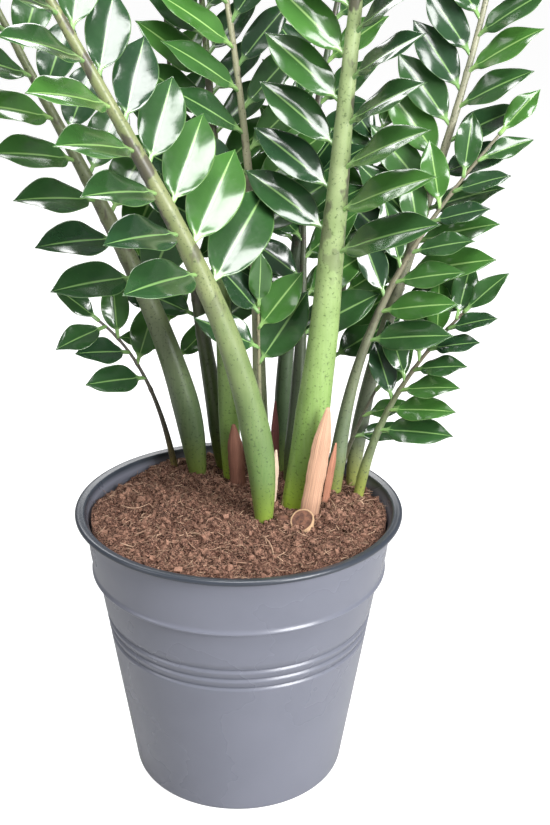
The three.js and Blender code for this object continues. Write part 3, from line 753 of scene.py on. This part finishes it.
def stalk_skin(name, low, high, blotch_from, blotch_to):
    """Smooth living skin: green below, greyer above, fine streaks along the stalk, small
    pores, and dark brown blotches that grow more frequent over a band of heights."""
    material, shader, nodes, links = new_material(name)
    where = nodes.new("ShaderNodeTexCoord")
    apart = nodes.new("ShaderNodeSeparateXYZ")
    links.new(where.outputs["Object"], apart.inputs["Vector"])
    height = apart.outputs["Z"]
    mottle = add_mottle(nodes, 38, 480)
    streak = stretched_noise(nodes, links, where.outputs["Object"], (1, 1, 0.05), 620)

    climb = ranged(nodes, links, height, 0.30, blotch_to * MM, 0, 1)
    base = two_colours(nodes, links, climb, low, high)
    light = tuple(min(1, c * 1.3 + 0.02) for c in high)
    fine = ranged(nodes, links, streak, 0.4, 0.75, 0, 0.16)
    streaked = two_colours(nodes, links, fine, base, light)
    shade = ranged(nodes, links, mottle.outputs["Mask"], 0.1, 0.9, 0, 0.4)
    clouded = two_colours(nodes, links, shade, streaked, tuple(c * 0.6 for c in low))

    band = ranged(nodes, links, height, blotch_from * MM, blotch_to * MM, 0, 1)
    patches = stretched_noise(nodes, links, where.outputs["Object"], (1, 1, 0.55), 62, 3, 0.55)
    spots = ranged(nodes, links, patches, 0.55, 0.60, 0, 0.9)
    both = nodes.new("ShaderNodeMath")
    both.operation = "MULTIPLY"
    links.new(spots, both.inputs[0])
    links.new(band, both.inputs[1])
    blotched = two_colours(nodes, links, both.outputs[0], clouded, (0.075, 0.065, 0.05))

    foot = ranged(nodes, links, height, 0.238, 0.275, 0.8, 0)
    footed = two_colours(nodes, links, foot, blotched, (low[0] * 1.7, low[1] * 1.45, low[2] * 0.5))
    pores = ranged(nodes, links, mottle.outputs["Fine"], 0.58, 0.68, 0, 0.75)
    final = two_colours(nodes, links, pores, footed, tuple(c * 0.3 for c in low))
    links.new(final, shader.inputs["Base Color"])
    gloss = ranged(nodes, links, mottle.outputs["Fine"], 0.3, 0.7, 0.32, 0.46)
    links.new(gloss, shader.inputs["Roughness"])
    add_bump(nodes, links, shader, mottle.outputs["Fine"], 0.2, 0.0003)
    return material


BLOTCH_BELOW = 40
BLOTCH_ABOVE = 60
for stalk_name, given in STALKS.items():
    stalk_line = centreline(given, 150)
    stalk_radius = stalk_line[:, 3].copy()
    ranks = given["ranks"]
    for ring_height in np.arange(ranks["from"], ranks["to"], ranks["step"]):
        stalk_radius += 0.4 * np.exp(-(((stalk_line[:, 2] - ring_height) / 2.2) ** 2))
    stalk_points, stalk_faces = tube(stalk_line[:, :3], stalk_radius, 28, 0.02)
    skin = stalk_skin(
        stalk_name + "_skin", *given["skin"], ranks["from"] - BLOTCH_BELOW, ranks["from"] + BLOTCH_ABOVE
    )
    make_piece(
        stalk_name + "_stalk", stalk_points, stalk_faces, skin, [stalk_name]
    )

# ------------------------------------------------------------------ leaflets
# Two ranks of leaflets along each stalk: thin fleshy pointed blades on a short green
# petiole, folded along a pale midrib, waxy and dark above, matte and paler below.
PETIOLE_LENGTH = 6.0
LEAFLET_FOLD = 0.22
LEAFLET_CURL = 0.1
END_LEAFLET = (46, 0.42)
RANK_STAGGER = 0.45
RANK_LIFT = 0.15
LENGTH_VARIATION = 0.08
TURNS = [
    (0, 0), (10, 0), (-10, 0), (0, 10), (0, -10), (20, 0), (-20, 0), (14, 14), (-14, 14),
    (14, -14), (-14, -14), (30, 0), (-30, 0), (0, 22), (0, -22), (22, 22), (-22, 22),
]


def aim(heading, lift):
    """Unit direction from a heading round Z and a lift above level, in degrees."""
    h, l = math.radians(heading), math.radians(lift)
    return np.array([math.cos(h) * math.cos(l), math.sin(h) * math.cos(l), math.sin(l)])


def unit(vector):
    """The vector made one long."""
    return vector / np.linalg.norm(vector)


def on_stalk(line, height):
    """Point, radius and direction of the stalk's straight-stepped line at a height."""
    points = np.array(line, float)
    i = int(np.clip(np.searchsorted(points[:, 2], height) - 1, 0, len(points) - 2))
    share = min(1.0, (height - points[i, 2]) / (points[i + 1, 2] - points[i, 2]))
    at = points[i] + (points[i + 1] - points[i]) * share
    return at[:3], at[3], unit((points[i + 1] - points[i])[:3])


def blade_axes(line, face, height, heading, lift, length, width):
    """One leaflet's origin on the stalk, its three axes, petiole end, length and width."""
    point, radius, _ = on_stalk(line, height)
    direction = aim(heading, lift)
    across = unit(np.cross(aim(*face), direction))
    return {
        "origin": point, "direction": direction, "across": across,
        "normal": np.cross(direction, across), "foot": radius + PETIOLE_LENGTH,
        "length": length + radius, "width": width * length,
    }


def blade_lift(leaf, x, y):
    """Height of the blade: folded up from its midrib, and curling down with the square
    of the distance from its foot."""
    t = np.maximum(0, (x - leaf["foot"]) / (leaf["length"] - leaf["foot"]))
    return LEAFLET_FOLD * np.abs(y) - LEAFLET_CURL * leaf["length"] * t**2


def placed(leaf, x, y, z):
    """Points from distances along, across and above a leaflet to the plant's own axes."""
    return (
        leaf["origin"]
        + x[..., None] * leaf["direction"]
        + y[..., None] * leaf["across"]
        + z[..., None] * leaf["normal"]
    )


def settled(tips, line, face, height, heading, lift, length, width):
    """The leaflet in the first of its small turns at which the solid plant has its tip."""
    for turn, rise in TURNS:
        leaf = blade_axes(
            line, face, height, heading + turn, min(80, lift + rise), length, width
        )
        end = np.array(leaf["length"])
        tip = placed(leaf, end, np.array(0.0), blade_lift(leaf, end, 0.0))
        if tips.find(tip * MM)[2] < 0.0003:
            return leaf
    return None


def rank_leaflets(line, face, ranks):
    """Two rows of leaflets from one height to another, opening less towards the tip, and
    one at the very end: (height, heading, lift, length, width share)."""
    rows = []
    count = int((ranks["to"] - ranks["from"]) // ranks["step"]) + 1
    for i in range(count):
        share = i / (count - 1)
        for side in (1, -1):
            stagger = 0 if side > 0 else ranks["step"] * RANK_STAGGER
            height = ranks["from"] + i * ranks["step"] + stagger
            _, _, along = on_stalk(line, height)
            up = unit(aim(*face) - along * aim(*face).dot(along))
            out = np.cross(along, up)
            low, high = ranks["angle"]
            opening = math.radians(low + (high - low) * share)
            direction = along * math.cos(opening) + out * side * math.sin(opening)
            direction = unit(direction + up * RANK_LIFT)
            low, high = ranks["length"]
            vary = 1 + LENGTH_VARIATION * math.sin(7 * i + 2 * side)
            size = (low + (high - low) * share) * vary
            heading = math.degrees(math.atan2(direction[1], direction[0]))
            lift = math.degrees(math.asin(direction[2]))
            rows.append((height, heading, lift, size, ranks["width"]))
    end = unit(np.array(line[-1][:3], float) - np.array(line[-2][:3], float))
    heading = math.degrees(math.atan2(end[1], end[0]))
    rows.append((line[-1][2] - 1, heading, math.degrees(math.asin(end[2])), *END_LEAFLET))
    return rows


def outline(t):
    """Half width of the blade as a share of its width: a full rounded oval,
    0.5 sin(pi t^0.9)^(0.62 + 0.5 t^3), that narrows to a short point."""
    arch = np.sin(math.pi * np.clip(t, 0, 1) ** 0.9)
    return 0.5 * np.clip(arch, 0, 1) ** (0.62 + 0.5 * np.clip(t, 0, 1) ** 3)


BLADE_ROWS = 26
BLADE_RING = 20


def blade_points(leaf, number):
    """Closed skin of one leaflet, ring by ring: a round petiole that flattens into a thin
    blade with a raised midrib below, soft side ribs and a gently waved edge."""
    t = np.linspace(0, 1, BLADE_ROWS)[:, None] ** 0.9
    x = leaf["length"] * t
    blade = np.clip((x - leaf["foot"]) / (leaf["length"] - leaf["foot"]), 0, 1)
    turn = np.linspace(0, 2 * math.pi, BLADE_RING, endpoint=False)[None, :]
    s, up = -np.cos(turn), np.sin(turn)
    stem = 1.7 * (1 - np.clip(blade / 0.12, 0, 1) ** 2)
    half = np.maximum(leaf["width"] * outline(blade), stem)
    half = half * np.clip((1 - blade) / 0.015, 0.02, 1)
    y = s * half
    thick = np.maximum(0.42 * np.clip((1 - blade) / 0.05, 0.2, 1), stem)
    thick = thick * np.sign(up) * np.sqrt(np.maximum(0, 1 - np.abs(s) ** 3))
    ribs = 0.05 * np.sin(2 * math.pi * (5 * blade - 1.1 * np.abs(s)) + number)
    waved = 1.5 * np.sin(2 * math.pi * 1.6 * blade + 2.4 * number) * s
    sides = np.abs(s) * (1 - np.abs(s)) * 4
    midrib = 0.5 * np.exp(-((y / 1.3) ** 2)) * (up < 0)
    z = blade_lift(leaf, x, y) + thick + np.clip(blade * 8, 0, 1) * (
        (ribs * sides + waved * s * s) * np.clip((1 - blade) * 5, 0, 1) - midrib
    )
    shape = np.broadcast_shapes(x.shape, y.shape)
    return placed(leaf, np.broadcast_to(x, shape), y, z), blade, s, up


BLADE_FACES = np.vstack(
    [
        grid_quads(BLADE_ROWS, BLADE_RING, True)[:, ::-1],
        [[k, (k + 1), BLADE_RING - 1 - (k + 1), BLADE_RING - 1 - k] for k in range(9)],
        (BLADE_ROWS - 1) * BLADE_RING
        + np.array(
            [[k, BLADE_RING - 1 - k, BLADE_RING - 2 - k, k + 1] for k in range(9)]
        ),
    ]
)


def leaf_wax():
    """Waxy leaflet: dark green, brighter when young, pale midrib and thin pale edge, faint
    side veins; paler and duller below. Veins follow the blade's own length and width."""
    material, shader, nodes, links = new_material("leaf_wax")

    def math_node(kind, first, second=None):
        node = nodes.new("ShaderNodeMath")
        node.operation = kind
        for socket, item in zip(node.inputs, (first, second)):
            if isinstance(item, (int, float)):
                socket.default_value = item
            elif item is not None:
                links.new(item, socket)
        return node.outputs[0]

    stored = ("length", "side", "under", "young")
    length, side, under, young = (point_value(nodes, name) for name in stored)
    mottle = add_mottle(nodes, 55, 420)
    green = two_colours(nodes, links, young, (0.014, 0.042, 0.018), (0.08, 0.25, 0.03))
    light = two_colours(nodes, links, young, (0.026, 0.075, 0.026), (0.13, 0.34, 0.05))
    cloud = ranged(nodes, links, mottle.outputs["Mask"], 0, 1, 0, 0.4)
    base = two_colours(nodes, links, cloud, green, light)

    away = math_node("ABSOLUTE", side)
    slant = math_node("SUBTRACT", math_node("MULTIPLY", length, 13.0), math_node("MULTIPLY", away, 2.2))
    wobble = math_node("ADD", slant, math_node("MULTIPLY", mottle.outputs["Fine"], 0.5))
    wave = math_node("SINE", math_node("MULTIPLY", wobble, 6.283))
    veins = ranged(nodes, links, wave, 0.75, 1.0, 0, 0.08)
    veined = two_colours(nodes, links, veins, base, light)
    pale = two_colours(nodes, links, young, (0.20, 0.36, 0.12), (0.42, 0.64, 0.20))
    rib = ranged(nodes, links, away, 0.02, 0.07, 0.9, 0)
    ribbed = two_colours(nodes, links, rib, veined, pale)
    edge = ranged(nodes, links, away, 0.94, 0.99, 0, 0.5)
    edged = two_colours(nodes, links, edge, ribbed, pale)
    stem = ranged(nodes, links, length, 0.0, 0.06, 0.9, 0)
    stemmed = two_colours(nodes, links, stem, edged, pale)
    below = two_colours(nodes, links, young, (0.11, 0.23, 0.085), (0.20, 0.44, 0.08))
    below_ribbed = two_colours(nodes, links, rib, below, pale)
    links.new(two_colours(nodes, links, under, stemmed, below_ribbed), shader.inputs["Base Color"])
    links.new(
        ranged(nodes, links, math_node("ADD", under, mottle.outputs["Fine"]), 0.3, 1.4, 0.13, 0.5),
        shader.inputs["Roughness"],
    )
    shader.inputs["Coat Weight"].default_value = 0.6
    shader.inputs["Coat Roughness"].default_value = 0.12
    height = math_node(
        "ADD", math_node("MULTIPLY", wave, 0.05), math_node("MULTIPLY", mottle.outputs["Fine"], 0.3)
    )
    add_bump(nodes, links, shader, height, 0.2, 0.0004)
    return material


LEAF_WAX = leaf_wax()
FRESH_VARIATION = 0.35
for stalk_name, given in STALKS.items():
    tips = KDTree(len(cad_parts[stalk_name].data.vertices))
    for index, vertex in enumerate(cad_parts[stalk_name].data.vertices):
        tips.insert(vertex.co, index)
    tips.balance()
    line = centreline(given, CURVE_STEPS)
    wanted = [
        (*row, given["young"] + FRESH_VARIATION * math.sin(3.7 * index) ** 3)
        for index, row in enumerate(rank_leaflets(line, given["face"], given["ranks"]))
    ]
    skins, lengths, sides, unders, youngs = [], [], [], [], []
    for number, (height, heading, lift, length, width, fresh) in enumerate(wanted):
        leaf = settled(tips, line, given["face"], height, heading, lift, length, width)
        if leaf is None:
            continue
        skin_points, blade, s, up = blade_points(leaf, number)
        skins.append(skin_points.reshape(-1, 3))
        lengths.append(np.broadcast_to(blade, skin_points.shape[:2]).ravel())
        sides.append(np.broadcast_to(s, skin_points.shape[:2]).ravel())
        unders.append(np.broadcast_to(up < -0.01, skin_points.shape[:2]).ravel())
        youngs.append(np.full(BLADE_ROWS * BLADE_RING, min(1, max(0, fresh))))
    blade_faces = np.vstack([BLADE_FACES + n * BLADE_ROWS * BLADE_RING for n in range(len(skins))])
    leaflets = make_piece(
        stalk_name + "_leaflets", np.vstack(skins), blade_faces, LEAF_WAX, []
    )
    set_point_value(leaflets, "length", np.concatenate(lengths))
    set_point_value(leaflets, "side", np.concatenate(sides))
    set_point_value(leaflets, "under", np.concatenate(unders))
    set_point_value(leaflets, "young", np.concatenate(youngs))
    
# ------------------------------------------------------------------ sheaths
# Dry papery sheaths round the feet of the stalks: thin, curved, red-brown to tan, with
# fine fibres along them; the widest one stands in front of the middle stalk.
SHEATHS = {
    "sheath_front": ((55, -20, 225), (70, -25, 335), 16, -80, (0.50, 0.30, 0.20)),
    "sheath_left": ((25, -5, 225), (30, -5, 290), 8, -90, (0.55, 0.42, 0.32)),
    "sheath_back_left": ((0, 40, 225), (-5, 40, 295), 14, -100, (0.17, 0.075, 0.05)),
    "sheath_right": ((70, 5, 225), (80, 10, 290), 10, -40, (0.36, 0.16, 0.10)),
    "sheath_back": ((30, 30, 225), (30, 30, 320), 7, -90, (0.13, 0.045, 0.04)),
}


def sheath_points(foot, tip, width, heading, rows=40, columns=25):
    """Pointed strip, even in width for two thirds of it, bowed across its width; front and
    back skins half a millimetre apart meet at a thin, slightly torn edge."""
    foot, tip = np.array(foot, float), np.array(tip, float)
    axis = tip - foot
    across = unit(np.cross(aim(heading, 0), axis))
    out = unit(np.cross(axis, across))
    t = np.linspace(0, 0.985, rows)[:, None]
    turn = np.linspace(0, 2 * math.pi, 2 * columns, endpoint=False)[None, :]
    s = -np.cos(turn)
    half = 0.5 * width * np.minimum(1, (3 * (1 - t)) ** 0.65 + 0.02)
    half = half * (1 + 0.03 * np.sin(23 * t + 3 * np.sign(s)) + 0.02 * np.sin(61 * t))
    bow = 0.45 * half * (1 - s * s) + 0.25 * np.sin(9 * s + 4 * t) * (1 - t)
    skin = -0.4 * np.sin(turn) * np.sqrt(np.maximum(0.15, 1 - s * s))
    points = (
        foot
        + axis * t[..., None]
        + across * (s * half)[..., None]
        + out * (bow + skin)[..., None]
    )
    return points, t, s


def dry_sheath(name, colour):
    """Papery tissue: long fine fibres light and dark, browner towards the foot."""
    material, shader, nodes, links = new_material(name)
    where = point_value(nodes, "side")
    rise = point_value(nodes, "length")
    joined = nodes.new("ShaderNodeCombineXYZ")
    links.new(where, joined.inputs["X"])
    links.new(rise, joined.inputs["Y"])
    fibre = stretched_noise(nodes, links, joined.outputs["Vector"], (14, 1.2, 1), 1.6, 6)
    mask = ranged(nodes, links, fibre, 0.35, 0.65, 0, 1)
    base = two_colours(
        nodes, links, mask, tuple(c * 0.6 for c in colour), tuple(min(1, c * 1.4) for c in colour)
    )
    foot = ranged(nodes, links, rise, 0.05, 0.3, 0.6, 0)
    footed = two_colours(nodes, links, foot, base, (0.10, 0.05, 0.035))
    links.new(footed, shader.inputs["Base Color"])
    shader.inputs["Roughness"].default_value = 0.7
    shader.inputs["Specular IOR Level"].default_value = 0.3
    add_bump(nodes, links, shader, fibre, 0.6, 0.0005)
    return material


for sheath_name, (foot, tip, width, heading, colour) in SHEATHS.items():
    skin_points, t, s = sheath_points(foot, tip, width, heading)
    rows, ring = skin_points.shape[:2]
    ends = [[k, k + 1, ring - 2 - k, ring - 1 - k] for k in range(ring // 2 - 1)]
    last = (rows - 1) * ring
    sheath_faces = np.vstack(
        [grid_quads(rows, ring, True), np.array(ends)[:, ::-1], last + np.array(ends)]
    )
    sheath = make_piece(
        sheath_name, skin_points.reshape(-1, 3), sheath_faces,
        dry_sheath(sheath_name + "_paper", colour), [sheath_name],
    )
    set_point_value(sheath, "length", np.broadcast_to(t, (rows, ring)))
    set_point_value(sheath, "side", np.broadcast_to(s, (rows, ring)))

# ------------------------------------------------------------------ cut stub and root knob
# The short stub of a leaf cut off long ago, dry and dark across its cut face inside a
# cream rim, and beside it a small tan knob of the root showing at the surface.
STUB_CENTRE = (50, -40)
STUB_RADIUS = 9.5
STUB_FOOT = 224
STUB_SLOPE = 0.62
STUB_FACE = math.radians(-110)
KNOB_CENTRE = (35, -30, 237)
KNOB_RADIUS = 5.5


def stub_points():
    """Short cylinder cut at a slant: rings up the side, over a thin rim and down into the
    shallow cut face. Each ring falls by slope * reach * cos(turn - face)."""
    turn = np.linspace(0, 2 * math.pi, 48, endpoint=False)[None, :]
    reach = STUB_RADIUS * np.array([0, 0.98, 1.0, 1.03, 0.98, 0.9, 0.82, 0.55, 0.25, 0])[:, None]
    z = STUB_FOOT + np.array([0, 0, 9, 16, 18.8, 18.9, 18.4, 18.2, 18.3, 18.4])[:, None]
    ragged = 1 + 0.02 * np.sin(3 * turn + 1) + 0.012 * np.sin(7 * turn)
    slant = np.where(z > STUB_FOOT, STUB_SLOPE * reach * np.cos(turn - STUB_FACE), 0)
    x = STUB_CENTRE[0] + reach * ragged * np.cos(turn)
    y = STUB_CENTRE[1] + reach * ragged * np.sin(turn)
    return np.stack([x, y, z - slant + 0 * turn], -1), reach


def cut_tissue():
    """Dry cut: dark brown pith with rings and cracks, cream skin at the rim."""
    material, shader, nodes, links = new_material("cut_tissue")
    reach = point_value(nodes, "reach")
    mottle = add_mottle(nodes, 240, 1100)
    pith = two_colours(nodes, links, mottle.outputs["Mask"], (0.045, 0.018, 0.012), (0.17, 0.075, 0.045))
    rim = ranged(nodes, links, reach, 0.84, 0.9, 0, 1)
    cream = two_colours(nodes, links, mottle.outputs["Fine"], (0.26, 0.14, 0.08), (0.55, 0.38, 0.22))
    links.new(two_colours(nodes, links, rim, pith, cream), shader.inputs["Base Color"])
    shader.inputs["Roughness"].default_value = 0.85
    add_bump(nodes, links, shader, mottle.outputs["Fine"], 0.7, 0.0008)
    return material


CUT = cut_tissue()
stub_grid, stub_reach = stub_points()
stub_rows, stub_ring = stub_grid.shape[:2]
stub_points_all = np.vstack(
    [stub_grid[1:-1].reshape(-1, 3), stub_grid[0].mean(0), stub_grid[-1].mean(0)]
)
stub_faces = closed_faces(stub_rows - 2, stub_ring)
stub = make_piece("cut_stub", stub_points_all, stub_faces, CUT, ["cut_stub"])
reach_values = np.repeat(stub_reach[1:-1, 0] / STUB_RADIUS, stub_ring)
set_point_value(stub, "reach", np.concatenate([reach_values, [1, 0]]))

knob_turn = np.linspace(0, 2 * math.pi, 32, endpoint=False)[None, :]
knob_tilt = np.linspace(-math.pi / 2, math.pi / 2, 18)[1:-1, None]
knob_size = KNOB_RADIUS * (1 + 0.05 * np.sin(3 * knob_turn + 2 * knob_tilt))
knob_grid = np.stack(
    [
        KNOB_CENTRE[0] + 1.2 * knob_size * np.cos(knob_tilt) * np.cos(knob_turn),
        KNOB_CENTRE[1] + 0.9 * knob_size * np.cos(knob_tilt) * np.sin(knob_turn),
        KNOB_CENTRE[2] + knob_size * np.sin(knob_tilt),
    ],
    -1,
)
knob_ends = [[*KNOB_CENTRE[:2], KNOB_CENTRE[2] + end] for end in (-KNOB_RADIUS, KNOB_RADIUS)]
knob_points = np.vstack([knob_grid.reshape(-1, 3), knob_ends])
knob_rows, knob_ring = knob_grid.shape[:2]
knob_faces = closed_faces(knob_rows, knob_ring)
knob = make_piece("root_knob", knob_points, knob_faces, CUT, ["root_knob"])
set_point_value(knob, "reach", np.full(len(knob_points), 0.84))
